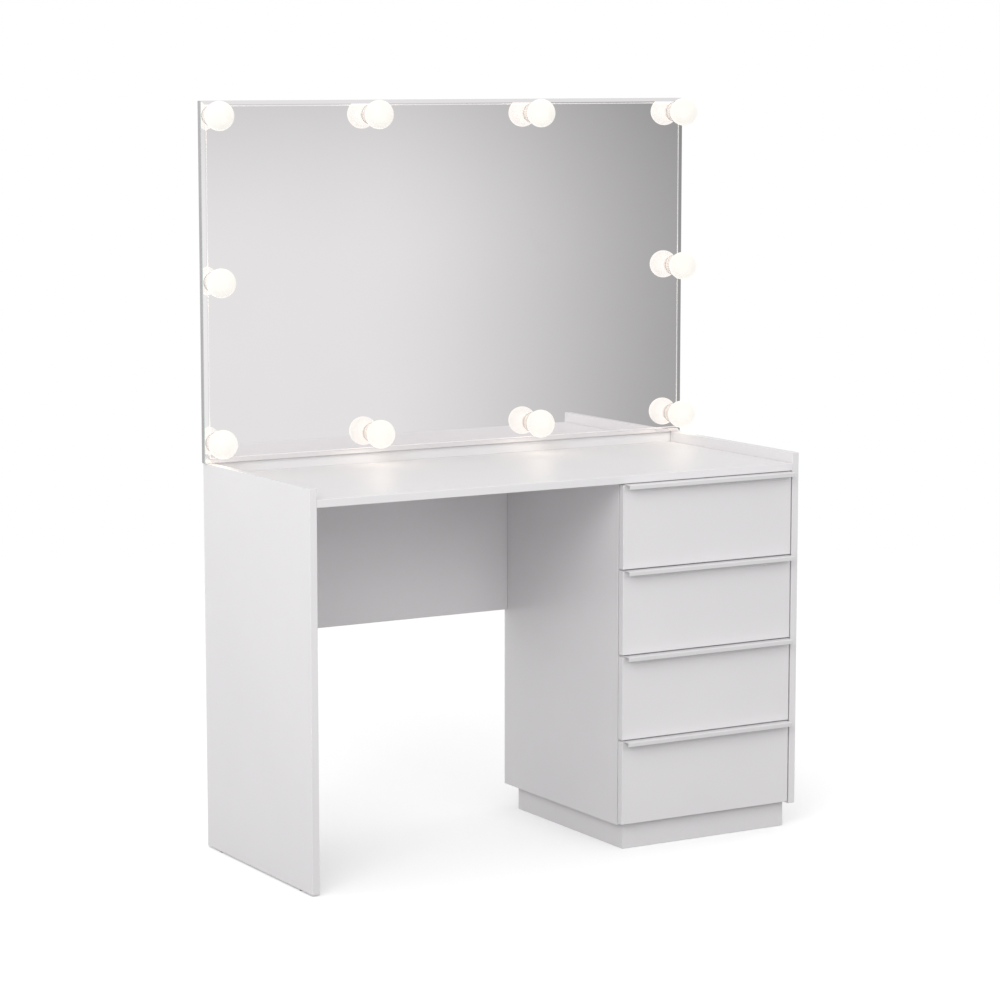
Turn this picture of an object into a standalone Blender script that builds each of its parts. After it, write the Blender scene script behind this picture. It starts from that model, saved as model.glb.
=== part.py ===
"""Vanity table with a drawer pedestal and a lamp-framed mirror.

Metres, +Z up. The front faces -Y and the pedestal is on the right, at +X. The origin is
on the floor, under the middle of the whole object. Depths are counted from the front
plane of the side panels, towards the back.
"""

import math

import bmesh
import bpy
from mathutils import Matrix, Vector

# Fits
GAP = 0.0003  # between pieces that touch
EDGE = 0.0008  # rounding of the edge banding

# Table
TABLE_WIDTH = 1.100
TABLE_DEPTH = 0.452
PANEL_TOP = 0.766  # height of the side panels
BOARD = 0.015
RIM = 0.021  # side panels and upstand above the table top
BACK_BOARD = 0.012  # upstand, modesty panel and pedestal back
MODESTY_HEIGHT = 0.311
GLIDE_HEIGHT = 0.0024
GLIDE_RADIUS = 0.0065
GLIDE_TOP_RADIUS = 0.0060
GLIDE_INSET = 0.055

# Pedestal
FRONT_WIDTH = 0.399
FRONT_SIDE_GAP = 0.003  # drawer front to the right side panel
BUMPER_GAP = 0.003  # drawer front to the pedestal's front edges
PLINTH_HEIGHT = 0.0485
PLINTH_INSET_LEFT = 0.012
PLINTH_INSET_RIGHT = 0.018
PLINTH_INSET_FRONT = 0.0165
PLINTH_INSET_BACK = 0.037

# Drawers
DRAWERS = 4
FRONT_RAISE = 0.0044  # lowest front above the underside of the pedestal
FRONT_GAP = 0.0018  # between a handle and the front above it
TOP_GAP = 0.0012  # highest handle to the table top
BOX_BOARD = 0.012
BOX_HEADROOM = 0.032  # drawer box below the top of its front
BOX_BACK_ROOM = 0.027  # drawer box to the pedestal back
BOX_RAISE = 0.016  # drawer box above the lower edge of its front
BOTTOM_SHEET = 0.003
RUNNER_ROOM = 0.013  # drawer box to the pedestal, each side
RUNNER_HEIGHT = 0.036
RUNNER_DEPTH = 0.0095
RUNNER_SHEET = 0.0012
RUNNER_SETBACK = 0.004
RUNNER_BACK_ROOM = 0.028  # runner to the pedestal back

# Handles, one strip of bent sheet on the top edge of each front
HANDLE_SHEET = 0.0015
HANDLE_REACH = 0.018
HANDLE_LIP = 0.0090
HANDLE_BACK_LEG = 0.018
HANDLE_BEND = 0.0018
HANDLE_INSET = 0.0032

# Mirror
MIRROR_OVERHANG = 0.004  # beyond the side panels, each side
MIRROR_HEIGHT = 0.700
MIRROR_FROM_BACK = 0.019  # reflecting face in front of the table's back
GLASS = 0.004
MIRROR_BOARD = 0.012
GLASS_BEVEL_WIDTH = 0.010
GLASS_BEVEL_DROP = 0.0010
BRACKET_SHEET = 0.003
BRACKET_WIDTH = 0.030
BRACKET_SPREAD = 0.780
BRACKET_UP = 0.115
BRACKET_DOWN = 0.085
BRACKET_JOGGLE = 0.006

# Lamps
LAMP_RADIUS = 0.0286
LAMP_STANDOFF = 0.037  # globe centre in front of the glass
LAMP_WALL = 0.0018
LAMP_NECK = 0.0150
LAMP_INSET_SIDE = 0.0208
LAMP_INSET_TOP = 0.0284
LAMP_INSET_BOTTOM = 0.0400
LAMP_MIDDLE_RAISE = 0.0023
LAMP_INNER_SPACING = 0.3724
COLLAR_RADIUS = 0.0190
COLLAR_TIP_RADIUS = 0.0165
COLLAR_FLANGE = 0.003
SPIGOT_RADIUS = 0.0095
SPIGOT_SHORT = 0.001  # spigot end inside the back of the mirror board
HOLE_CLEARANCE = 0.0005
LED_RADIUS = 0.0112
LED_REACH = 0.006

# Lamp driver, under the table top
DRIVER_SIZE = (0.112, 0.040, 0.026)
DRIVER_EDGE = 0.002
DRIVER_FROM_PEDESTAL = 0.060
DRIVER_FROM_BACK = 0.006
INLET_RADIUS = 0.0032
INLET_DEPTH = 0.009

# Worked out from the sizes above
FRONTMOST = -HANDLE_REACH
BACKMOST = TABLE_DEPTH + GAP + BRACKET_SHEET
MIDDLE = (FRONTMOST + BACKMOST) / 2
SURFACE = PANEL_TOP - RIM
UNDERSIDE = SURFACE - BOARD
LEFT = -TABLE_WIDTH / 2
RIGHT = TABLE_WIDTH / 2
INNER_LEFT = LEFT + BOARD
INNER_RIGHT = RIGHT - BOARD
BACK_FACE = TABLE_DEPTH - BACK_BOARD
BASE = PLINTH_HEIGHT + GAP
PEDESTAL_LEFT = INNER_RIGHT - FRONT_SIDE_GAP - FRONT_WIDTH
PEDESTAL_FRONT = BOARD + BUMPER_GAP
PEDESTAL_INNER_LEFT = PEDESTAL_LEFT + BOARD
FLOOR_TOP = BASE + BOARD
LOWEST_FRONT = BASE + FRONT_RAISE
PITCH = (UNDERSIDE - TOP_GAP - LOWEST_FRONT + FRONT_GAP) / DRAWERS
FRONT_HEIGHT = PITCH - FRONT_GAP - HANDLE_SHEET - GAP
BOX_HEIGHT = FRONT_HEIGHT - BOX_RAISE - BOX_HEADROOM
BOX_LEFT = PEDESTAL_INNER_LEFT + RUNNER_ROOM
BOX_RIGHT = INNER_RIGHT - RUNNER_ROOM
MIRROR_WIDTH = TABLE_WIDTH + 2 * MIRROR_OVERHANG
MIRROR_FOOT = PANEL_TOP + GAP
MIRROR_SETBACK = TABLE_DEPTH - MIRROR_FROM_BACK
MIRROR_BACK = MIRROR_SETBACK + GLASS + GAP + MIRROR_BOARD


def y_at(depth):
    """Y of a depth behind the front plane."""
    return depth - MIDDLE


def clear_scene():
    for obj in list(bpy.data.objects):
        bpy.data.objects.remove(obj, do_unlink=True)


def collection(name):
    made = bpy.data.collections.new(name)
    bpy.context.scene.collection.children.link(made)
    return made


def finish(name, colour, roughness, metallic=0.0, glow=0.0):
    material = bpy.data.materials.new(name)
    material.use_nodes = True
    shader = material.node_tree.nodes["Principled BSDF"]
    shader.inputs["Base Color"].default_value = (*colour, 1)
    shader.inputs["Roughness"].default_value = roughness
    shader.inputs["Metallic"].default_value = metallic
    shader.inputs["Emission Color"].default_value = (*colour, 1)
    shader.inputs["Emission Strength"].default_value = glow
    material.diffuse_color = (*colour, 1)
    return material


def piece(name, mesh, material, place=(0, 0, 0), parent=None, into=None):
    obj = bpy.data.objects.new(name, mesh)
    mesh.materials.clear()
    mesh.materials.append(material)
    (into or PARTS).objects.link(obj)
    obj.location = place
    if parent:
        obj.parent = parent
        obj.location = Vector(place) - parent.location
    return obj


def cutter(name, mesh, place=(0, 0, 0)):
    obj = bpy.data.objects.new(name, mesh)
    CUTTERS.objects.link(obj)
    obj.location = place
    obj.hide_render = True
    obj.display_type = "WIRE"
    return obj


def cut(obj, tool):
    modifier = obj.modifiers.new("cut", "BOOLEAN")
    modifier.operation = "DIFFERENCE"
    modifier.solver = "EXACT"
    modifier.object = tool


def round_edges(obj, width=EDGE, segments=1):
    modifier = obj.modifiers.new("edges", "BEVEL")
    modifier.width = width
    modifier.segments = segments
    modifier.limit_method = "ANGLE"
    modifier.angle_limit = math.radians(50)


def mesh_of(name, work):
    mesh = bpy.data.meshes.new(name)
    work.to_mesh(mesh)
    work.free()
    return mesh


def box_mesh(name, size):
    work = bmesh.new()
    bmesh.ops.create_cube(work, size=1, matrix=Matrix.Diagonal((*size, 1)))
    return mesh_of(name, work)


def slab(name, x, depth, z, material, parent=None, width=EDGE, segments=1):
    """A board between two values of x, two depths and two heights."""
    low = Vector((x[0], y_at(depth[0]), z[0]))
    high = Vector((x[1], y_at(depth[1]), z[1]))
    obj = piece(name, box_mesh(name, high - low), material, (low + high) / 2, parent)
    round_edges(obj, width, segments)
    return obj


def outline_mesh(name, rings, length):
    """A flat outline, with any holes, extruded by length along its own Z."""
    curve = bpy.data.curves.new(name, "CURVE")
    curve.dimensions = "2D"
    curve.fill_mode = "BOTH"
    curve.extrude = length / 2
    for ring in rings:
        spline = curve.splines.new("POLY")
        spline.points.add(len(ring) - 1)
        for point, (across, along) in zip(spline.points, ring):
            point.co = (across, along, 0, 1)
        spline.use_cyclic_u = True
    holder = bpy.data.objects.new(name, curve)
    bpy.context.scene.collection.objects.link(holder)
    graph = bpy.context.evaluated_depsgraph_get()
    mesh = bpy.data.meshes.new_from_object(holder.evaluated_get(graph))
    bpy.data.objects.remove(holder)
    work = bmesh.new()
    work.from_mesh(mesh)
    bmesh.ops.remove_doubles(work, verts=work.verts, dist=0.00001)
    bmesh.ops.recalc_face_normals(work, faces=work.faces)
    work.to_mesh(mesh)
    work.free()
    return mesh


def rectangle(x_low, y_low, x_high, y_high):
    return [(x_low, y_low), (x_high, y_low), (x_high, y_high), (x_low, y_high)]


def bent_strip(corners, sheet, bend, steps=3):
    """Outline of a bent sheet whose middle line runs through the corners."""
    points = [Vector(corner) for corner in corners]
    left = []
    right = []

    def lay(point, direction):
        normal = Vector((-direction.y, direction.x)) * sheet / 2
        left.append(tuple(point + normal))
        right.append(tuple(point - normal))

    lay(points[0], (points[1] - points[0]).normalized())
    for before, corner, after in zip(points, points[1:], points[2:]):
        way_in = (corner - before).normalized()
        way_out = (after - corner).normalized()
        turn = math.atan2(way_in.x * way_out.y - way_in.y * way_out.x, way_in.dot(way_out))
        side = math.copysign(1, turn)
        start = corner - way_in * bend * math.tan(abs(turn) / 2)
        centre = start + Vector((-way_in.y, way_in.x)) * side * bend
        for step in range(steps + 1):
            angle = turn * step / steps
            along = Vector(
                (
                    way_in.x * math.cos(angle) - way_in.y * math.sin(angle),
                    way_in.x * math.sin(angle) + way_in.y * math.cos(angle),
                )
            )
            lay(centre - Vector((-along.y, along.x)) * side * bend, along)
    lay(points[-1], (points[-1] - points[-2]).normalized())
    return left + right[::-1]


def bar_along_x(name, outline, length, middle_x, material, parent=None):
    """A bar along X whose outline is given as (depth, height) points."""
    ring = [(y_at(depth), height) for depth, height in outline]
    obj = piece(name, outline_mesh(name, [ring], length), material, (middle_x, 0, 0))
    obj.rotation_euler = (math.pi / 2, 0, math.pi / 2)
    if parent:
        obj.parent = parent
        obj.location = obj.location - parent.location
    return obj


def turned(name, profile, steps, material, place, parent=None):
    """A profile of (radius, height) points, from the top down, turned round Z."""
    mesh = bpy.data.meshes.new(name)
    work = bmesh.new()
    points = [work.verts.new((radius, 0, height)) for radius, height in profile]
    for one, other in zip(points, points[1:]):
        work.edges.new((one, other))
    work.to_mesh(mesh)
    work.free()
    obj = piece(name, mesh, material, place, parent)
    screw = obj.modifiers.new("turn", "SCREW")
    screw.steps = steps
    screw.render_steps = steps
    screw.use_merge_vertices = True
    screw.merge_threshold = 0.00001
    screw.use_smooth_shade = True
    return obj


def side_panels():
    low = GLIDE_HEIGHT + GAP
    depth = (0, TABLE_DEPTH)
    slab("left_side_panel", (LEFT, INNER_LEFT), depth, (low, PANEL_TOP), WHITE_BOARD, segments=2)
    slab("right_side_panel", (INNER_RIGHT, RIGHT), depth, (BASE, PANEL_TOP), WHITE_BOARD, segments=2)
    for place, depth in (("front", GLIDE_INSET), ("rear", TABLE_DEPTH - GLIDE_INSET)):
        profile = [
            (0, GLIDE_HEIGHT),
            (GLIDE_TOP_RADIUS, GLIDE_HEIGHT),
            (GLIDE_RADIUS, 0),
            (0, 0),
        ]
        turned(f"glide_{place}", profile, 16, NYLON, (LEFT + BOARD / 2, y_at(depth), 0))


def top_and_back():
    across = (INNER_LEFT + GAP, INNER_RIGHT - GAP)
    depth = (0, BACK_FACE - GAP)
    slab("table_top", across, depth, (UNDERSIDE, SURFACE), WHITE_BOARD, segments=2)
    slab("rear_upstand", across, (BACK_FACE, TABLE_DEPTH), (UNDERSIDE, PANEL_TOP), WHITE_BOARD)
    high = UNDERSIDE - GAP
    across = (INNER_LEFT + GAP, PEDESTAL_LEFT - GAP)
    slab("modesty_panel", across, (BACK_FACE, TABLE_DEPTH), (high - MODESTY_HEIGHT, high), WHITE_BOARD)


def pedestal():
    depth = (PEDESTAL_FRONT, TABLE_DEPTH)
    high = UNDERSIDE - GAP
    across = (PEDESTAL_LEFT, PEDESTAL_INNER_LEFT)
    slab("pedestal_side_panel", across, depth, (BASE, high), WHITE_BOARD, segments=2)
    across = (PEDESTAL_INNER_LEFT + GAP, INNER_RIGHT - GAP)
    slab("pedestal_floor", across, depth, (BASE, FLOOR_TOP), WHITE_BOARD)
    slab("pedestal_back", across, (BACK_FACE, TABLE_DEPTH), (FLOOR_TOP + GAP, high), WHITE_BOARD)
    outer = (
        PEDESTAL_LEFT + PLINTH_INSET_LEFT,
        y_at(PLINTH_INSET_FRONT),
        RIGHT - PLINTH_INSET_RIGHT,
        y_at(TABLE_DEPTH - PLINTH_INSET_BACK),
    )
    inner = (outer[0] + BOARD, outer[1] + BOARD, outer[2] - BOARD, outer[3] - BOARD)
    mesh = outline_mesh("plinth_frame", [rectangle(*outer), rectangle(*inner)], PLINTH_HEIGHT)
    plinth = piece("plinth_frame", mesh, WHITE_BOARD, (0, 0, PLINTH_HEIGHT / 2))
    round_edges(plinth, EDGE / 2)


def runner(name, face_x, inwards, middle_height):
    """A channel against a wall at face_x, open towards the drawer."""
    back = face_x + inwards * (GAP + RUNNER_SHEET / 2)
    lip = face_x + inwards * RUNNER_DEPTH
    half = (RUNNER_HEIGHT - RUNNER_SHEET) / 2
    corners = [(lip, half), (back, half), (back, -half), (lip, -half)]
    ring = bent_strip(corners, RUNNER_SHEET, RUNNER_SHEET, steps=2)
    start = PEDESTAL_FRONT + RUNNER_SETBACK
    end = BACK_FACE - RUNNER_BACK_ROOM
    place = (0, y_at((start + end) / 2), middle_height)
    obj = piece(name, outline_mesh(name, [ring], end - start), RUNNER_STEEL, place)
    obj.rotation_euler = (math.pi / 2, 0, 0)


def drawer(number, lowest):
    """One drawer, counted from the top, whose front starts at the height lowest."""
    name = f"drawer_{number}"
    slide = bpy.data.objects.new(name + "_slide", None)
    slide.location = ((PEDESTAL_LEFT + INNER_RIGHT) / 2, y_at(0), lowest)
    PARTS.objects.link(slide)
    across = (PEDESTAL_LEFT, PEDESTAL_LEFT + FRONT_WIDTH)
    top = lowest + FRONT_HEIGHT
    slab(name + "_front", across, (0, BOARD), (lowest, top), FRONT_BOARD, slide, segments=2)

    plate = top + GAP + HANDLE_SHEET / 2
    lip = HANDLE_SHEET / 2 - HANDLE_REACH
    leg = BOARD + GAP + HANDLE_SHEET / 2
    plate_top = plate + HANDLE_SHEET / 2
    corners = [
        (lip, plate_top - HANDLE_LIP),
        (lip, plate),
        (leg, plate),
        (leg, plate_top - HANDLE_BACK_LEG),
    ]
    ring = bent_strip(corners, HANDLE_SHEET, HANDLE_BEND)
    length = FRONT_WIDTH - 2 * HANDLE_INSET
    bar_along_x(name + "_handle", ring, length, sum(across) / 2, HANDLE_PAINT, slide)

    floor = lowest + BOX_RAISE
    start = BOARD + GAP
    end = BACK_FACE - BOX_BACK_ROOM
    ring = [
        (BOX_LEFT, y_at(start)),
        (BOX_LEFT, y_at(end)),
        (BOX_RIGHT, y_at(end)),
        (BOX_RIGHT, y_at(start)),
        (BOX_RIGHT - BOX_BOARD, y_at(start)),
        (BOX_RIGHT - BOX_BOARD, y_at(end - BOX_BOARD)),
        (BOX_LEFT + BOX_BOARD, y_at(end - BOX_BOARD)),
        (BOX_LEFT + BOX_BOARD, y_at(start)),
    ]
    wall = BOX_HEIGHT - BOTTOM_SHEET - GAP
    mesh = outline_mesh(name + "_box", [ring], wall)
    middle = floor + BOTTOM_SHEET + GAP + wall / 2
    piece(name + "_box", mesh, BOX_MATERIAL, (0, 0, middle), slide)
    across = (BOX_LEFT, BOX_RIGHT)
    slab(name + "_bottom", across, (start, end), (floor, floor + BOTTOM_SHEET), HARDBOARD, slide, EDGE / 2)

    middle = floor + BOX_HEIGHT / 2
    runner(f"runner_left_{number}", PEDESTAL_INNER_LEFT, 1, middle)
    runner(f"runner_right_{number}", INNER_RIGHT, -1, middle)


def lamp_places():
    """(x, z) of each lamp: four along the top, one at each side and four along the foot."""
    outer = MIRROR_WIDTH / 2 - LAMP_INSET_SIDE
    inner = LAMP_INNER_SPACING / 2
    columns = (-outer, -inner, inner, outer)
    high = MIRROR_FOOT + MIRROR_HEIGHT - LAMP_INSET_TOP
    low = MIRROR_FOOT + LAMP_INSET_BOTTOM
    middle = MIRROR_FOOT + MIRROR_HEIGHT / 2 + LAMP_MIDDLE_RAISE
    top = [(x, high) for x in columns]
    sides = [(-outer, middle), (outer, middle)]
    return top + sides + [(x, low) for x in columns]


def mirror():
    front = MIRROR_SETBACK
    middle_z = MIRROR_FOOT + MIRROR_HEIGHT / 2
    work = bmesh.new()
    size = (MIRROR_WIDTH, GLASS, MIRROR_HEIGHT)
    bmesh.ops.create_cube(work, size=1, matrix=Matrix.Diagonal((*size, 1)))
    face = next(face for face in work.faces if face.normal.y < -0.9)
    # The rim steps back by the bevel's drop and the inset face comes forward again.
    for vert in face.verts:
        vert.co.y += GLASS_BEVEL_DROP
    bmesh.ops.inset_region(work, faces=[face], thickness=GLASS_BEVEL_WIDTH, depth=GLASS_BEVEL_DROP)
    bmesh.ops.recalc_face_normals(work, faces=work.faces)
    place = (0, y_at(front + GLASS / 2), middle_z)
    glass = piece("mirror_glass", mesh_of("mirror_glass", work), SILVERED, place)
    depth = (front + GLASS + GAP, MIRROR_BACK)
    half = MIRROR_WIDTH / 2
    height = (MIRROR_FOOT, MIRROR_FOOT + MIRROR_HEIGHT)
    board = slab("mirror_backing_board", (-half, half), depth, height, GREY_BOARD)

    work = bmesh.new()
    along_y = Matrix.Rotation(math.pi / 2, 4, "X")
    for x, z in lamp_places():
        place = Matrix.Translation((x, y_at(front + GLASS), z))
        bmesh.ops.create_cone(
            work,
            cap_ends=True,
            segments=16,
            radius1=SPIGOT_RADIUS + HOLE_CLEARANCE,
            radius2=SPIGOT_RADIUS + HOLE_CLEARANCE,
            depth=4 * (GLASS + MIRROR_BOARD),
            matrix=place @ along_y,
        )
    holes = cutter("lamp_holes", mesh_of("lamp_holes", work))
    cut(glass, holes)
    cut(board, holes)


def brackets():
    """Joggled steel straps that tie the mirror to the back of the table."""
    half = BRACKET_SHEET / 2
    lower = TABLE_DEPTH + GAP + half
    upper = MIRROR_BACK + GAP + half
    ledge = PANEL_TOP + 2 * GAP
    corners = [
        (lower, PANEL_TOP - BRACKET_DOWN),
        (lower, ledge),
        (upper, ledge + BRACKET_JOGGLE),
        (upper, PANEL_TOP + BRACKET_UP),
    ]
    ring = bent_strip(corners, BRACKET_SHEET, BRACKET_SHEET, steps=2)
    for side, x in (("left", -BRACKET_SPREAD / 2), ("right", BRACKET_SPREAD / 2)):
        bar_along_x(f"mirror_bracket_{side}", ring, BRACKET_WIDTH, x, BRACKET_STEEL)


def lamps():
    seat = LAMP_STANDOFF - math.sqrt(LAMP_RADIUS**2 - LAMP_NECK**2)
    through = GLASS + GAP + MIRROR_BOARD - SPIGOT_SHORT
    collar = [
        (0, seat + LED_REACH),
        (LED_RADIUS, seat + LED_REACH),
        (LED_RADIUS, seat - GAP),
        (COLLAR_TIP_RADIUS, seat - GAP),
        (COLLAR_RADIUS, COLLAR_FLANGE),
        (COLLAR_RADIUS, GAP),
        (SPIGOT_RADIUS, GAP),
        (SPIGOT_RADIUS, -through),
        (0, -through),
    ]
    outside = arc_profile(LAMP_RADIUS, LAMP_NECK, 8)
    inside = arc_profile(LAMP_RADIUS - LAMP_WALL, LAMP_NECK - LAMP_WALL, 6)
    globe = [(radius, height + LAMP_STANDOFF) for radius, height in outside + inside[::-1]]
    for number, (x, z) in enumerate(lamp_places(), 1):
        place = (x, y_at(MIRROR_SETBACK), z)
        socket = turned(f"lamp_socket_{number}", collar, 16, COLLAR_PLASTIC, place)
        bulb = turned(f"lamp_globe_{number}", globe, 18, OPAL, place)
        for obj in (socket, bulb):
            obj.rotation_euler = (math.pi / 2, 0, 0)


def arc_profile(radius, neck, pieces):
    """A sphere's profile from its tip down to the neck, about its own centre."""
    end = math.pi - math.asin(neck / radius)
    angles = [end * step / pieces for step in range(pieces + 1)]
    return [(radius * math.sin(angle), radius * math.cos(angle)) for angle in angles]


def lamp_driver():
    width, deep, high = DRIVER_SIZE
    right = PEDESTAL_LEFT - DRIVER_FROM_PEDESTAL
    back = BACK_FACE - DRIVER_FROM_BACK
    top = UNDERSIDE - GAP
    across = (right - width, right)
    depth = (back - deep, back)
    box = slab("lamp_driver_box", across, depth, (top - high, top), BLACK_PLASTIC, width=DRIVER_EDGE)
    work = bmesh.new()
    bmesh.ops.create_cone(
        work,
        cap_ends=True,
        segments=16,
        radius1=INLET_RADIUS,
        radius2=INLET_RADIUS,
        depth=2 * INLET_DEPTH,
    )
    inlet = cutter("driver_inlet", mesh_of("driver_inlet", work))
    inlet.location = (right - width, y_at(back - deep / 2), top - high / 2)
    inlet.rotation_euler = (0, math.pi / 2, 0)
    cut(box, inlet)


clear_scene()
PARTS = collection("vanity_table")
CUTTERS = collection("cutters")

WHITE_BOARD = finish("white_melamine", (0.78, 0.775, 0.78), 0.35)
FRONT_BOARD = finish("white_drawer_fronts", (0.76, 0.755, 0.76), 0.35)
BOX_MATERIAL = finish("white_drawer_boxes", (0.74, 0.74, 0.74), 0.5)
HARDBOARD = finish("white_hardboard", (0.72, 0.72, 0.71), 0.6)
GREY_BOARD = finish("grey_mirror_board", (0.40, 0.40, 0.40), 0.5)
SILVERED = finish("silvered_glass", (0.93, 0.93, 0.94), 0.02, metallic=1.0)
HANDLE_PAINT = finish("white_handle_paint", (0.82, 0.82, 0.82), 0.3)
RUNNER_STEEL = finish("zinc_plated_steel", (0.62, 0.63, 0.65), 0.35, metallic=1.0)
BRACKET_STEEL = finish("grey_powder_coat", (0.35, 0.35, 0.36), 0.5)
OPAL = finish("opal_globe", (1.0, 0.97, 0.91), 0.4, glow=1.0)
COLLAR_PLASTIC = finish("white_collar_plastic", (0.88, 0.86, 0.83), 0.35)
BLACK_PLASTIC = finish("black_driver_plastic", (0.03, 0.03, 0.03), 0.5)
NYLON = finish("white_nylon", (0.8, 0.8, 0.78), 0.5)

side_panels()
top_and_back()
pedestal()
for drawer_number in range(1, DRAWERS + 1):
    drawer(drawer_number, LOWEST_FRONT + PITCH * (DRAWERS - drawer_number))
mirror()
brackets()
lamps()
lamp_driver()
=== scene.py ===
import math

import bmesh
import bpy
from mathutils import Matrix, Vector


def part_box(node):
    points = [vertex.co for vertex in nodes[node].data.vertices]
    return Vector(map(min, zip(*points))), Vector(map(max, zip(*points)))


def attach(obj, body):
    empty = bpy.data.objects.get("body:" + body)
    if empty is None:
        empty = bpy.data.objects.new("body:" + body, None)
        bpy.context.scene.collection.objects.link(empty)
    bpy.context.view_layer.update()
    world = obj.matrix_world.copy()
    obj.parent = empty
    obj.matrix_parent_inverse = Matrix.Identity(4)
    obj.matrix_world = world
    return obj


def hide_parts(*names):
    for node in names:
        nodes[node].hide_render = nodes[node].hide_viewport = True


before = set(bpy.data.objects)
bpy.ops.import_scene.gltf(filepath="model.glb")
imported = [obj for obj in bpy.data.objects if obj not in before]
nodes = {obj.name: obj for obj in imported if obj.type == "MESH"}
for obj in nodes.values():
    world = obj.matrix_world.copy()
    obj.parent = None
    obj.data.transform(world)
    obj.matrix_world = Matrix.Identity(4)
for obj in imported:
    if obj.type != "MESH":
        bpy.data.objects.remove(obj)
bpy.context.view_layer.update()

drawers = [f"drawer_{number}" for number in range(1, 5)]
lampNumbers = range(1, 11)


# Shader tree helpers

def feed(tree, socket, value):
    if isinstance(value, bpy.types.NodeSocket):
        tree.links.new(value, socket)
    else:
        socket.default_value = value


def maths(tree, operation, *values, clamp=False):
    node = tree.nodes.new("ShaderNodeMath")
    node.operation = operation
    node.use_clamp = clamp
    for socket, value in zip(node.inputs, values):
        feed(tree, socket, value)
    return node.outputs[0]


def vectorMaths(tree, operation, *values):
    node = tree.nodes.new("ShaderNodeVectorMath")
    node.operation = operation
    for socket, value in zip(node.inputs, values):
        feed(tree, socket, value)
    return node.outputs["Value" if operation == "DOT_PRODUCT" else "Vector"]


def ramp(tree, value, fromLow, fromHigh, toLow=0.0, toHigh=1.0, smooth=True):
    node = tree.nodes.new("ShaderNodeMapRange")
    node.interpolation_type = "SMOOTHSTEP" if smooth else "LINEAR"
    for label, given in (
        ("Value", value),
        ("From Min", fromLow),
        ("From Max", fromHigh),
        ("To Min", toLow),
        ("To Max", toHigh),
    ):
        feed(tree, node.inputs[label], given)
    return node.outputs["Result"]


def mixColour(tree, share, first, second):
    node = tree.nodes.new("ShaderNodeMix")
    node.data_type = "RGBA"
    feed(tree, node.inputs[0], share)
    for index, colour in ((6, first), (7, second)):
        linked = isinstance(colour, bpy.types.NodeSocket)
        feed(tree, node.inputs[index], colour if linked else (*colour, 1))
    return node.outputs[2]


def noise(tree, where, scale, detail=2.0, rough=0.5, bend=0.0):
    node = tree.nodes.new("ShaderNodeTexNoise")
    for label, given in (
        ("Vector", where),
        ("Scale", scale),
        ("Detail", detail),
        ("Roughness", rough),
        ("Distortion", bend),
    ):
        feed(tree, node.inputs[label], given)
    return node.outputs["Fac"]


def newGroup(name, given, made):
    group = bpy.data.node_groups.new(name, "ShaderNodeTree")
    for label, kind, value in given:
        socket = group.interface.new_socket(
            name=label, in_out="INPUT", socket_type="NodeSocket" + kind
        )
        if value is not None:
            socket.default_value = value
    for label, kind in made:
        group.interface.new_socket(name=label, in_out="OUTPUT", socket_type="NodeSocket" + kind)
    start = group.nodes.new("NodeGroupInput").outputs
    end = group.nodes.new("NodeGroupOutput").inputs
    return group, start, end


def useGroup(tree, group, **values):
    node = tree.nodes.new("ShaderNodeGroup")
    node.node_tree = group
    for label, value in values.items():
        feed(tree, node.inputs[label], value)
    return node.outputs


# Shared effects

def surfaceGrainGroup():
    # a cloudy tone and a fine grain, which may be drawn out along one axis
    group, start, end = newGroup(
        "surface grain",
        [
            ("Position", "Vector", None),
            ("Stretch", "Vector", (1, 1, 1)),
            ("Cloud", "Float", 4.0),
            ("Fine", "Float", 600.0),
        ],
        [("Tone", "Float"), ("Grain", "Float"), ("Height", "Float")],
    )
    drawn = vectorMaths(group, "MULTIPLY", start["Position"], start["Stretch"])
    cloud = noise(group, drawn, start["Cloud"], 3.0, 0.55)
    fine = noise(group, drawn, start["Fine"], 2.0, 0.5)
    tone = ramp(group, cloud, 0.3, 0.7)
    grain = ramp(group, fine, 0.3, 0.7, smooth=False)
    feed(group, end["Tone"], tone)
    feed(group, end["Grain"], grain)
    soft = maths(group, "MULTIPLY", cloud, 0.25)
    feed(group, end["Height"], maths(group, "MULTIPLY_ADD", grain, 0.75, soft))
    return group


def boardEdgeGroup():
    # masks from a board's two corners: its arrises, which carry a painted highlight, and the joint of
    # the edge band on the wide faces
    group, start, end = newGroup(
        "board edges",
        [
            ("Position", "Vector", None),
            ("Low", "Vector", (0, 0, 0)),
            ("High", "Vector", (1, 1, 1)),
            ("Thin Axis", "Vector", (1, 0, 0)),
            ("Band", "Float", 0.0009),
        ],
        [("Seam", "Float"), ("Arris", "Float")],
    )
    fromLow = vectorMaths(group, "SUBTRACT", start["Position"], start["Low"])
    fromHigh = vectorMaths(group, "SUBTRACT", start["High"], start["Position"])
    near = vectorMaths(group, "MINIMUM", fromLow, fromHigh)
    split = group.nodes.new("ShaderNodeSeparateXYZ")
    feed(group, split.inputs[0], near)
    x, y, z = split.outputs
    least = maths(group, "MINIMUM", maths(group, "MINIMUM", x, y), z)
    most = maths(group, "MAXIMUM", maths(group, "MAXIMUM", x, y), z)
    total = maths(group, "ADD", maths(group, "ADD", x, y), z)
    middle = maths(group, "SUBTRACT", maths(group, "SUBTRACT", total, least), most)
    off = maths(group, "ABSOLUTE", maths(group, "SUBTRACT", middle, start["Band"]))
    line = ramp(group, off, 0.00005, 0.0002, 1.0, 0.0)
    depth = vectorMaths(group, "DOT_PRODUCT", near, start["Thin Axis"])
    wide = maths(group, "LESS_THAN", depth, 0.0002)
    feed(group, end["Seam"], maths(group, "MULTIPLY", line, wide))
    feed(group, end["Arris"], ramp(group, middle, 0.0, start["Band"], 1.0, 0.0))
    return group


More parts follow.
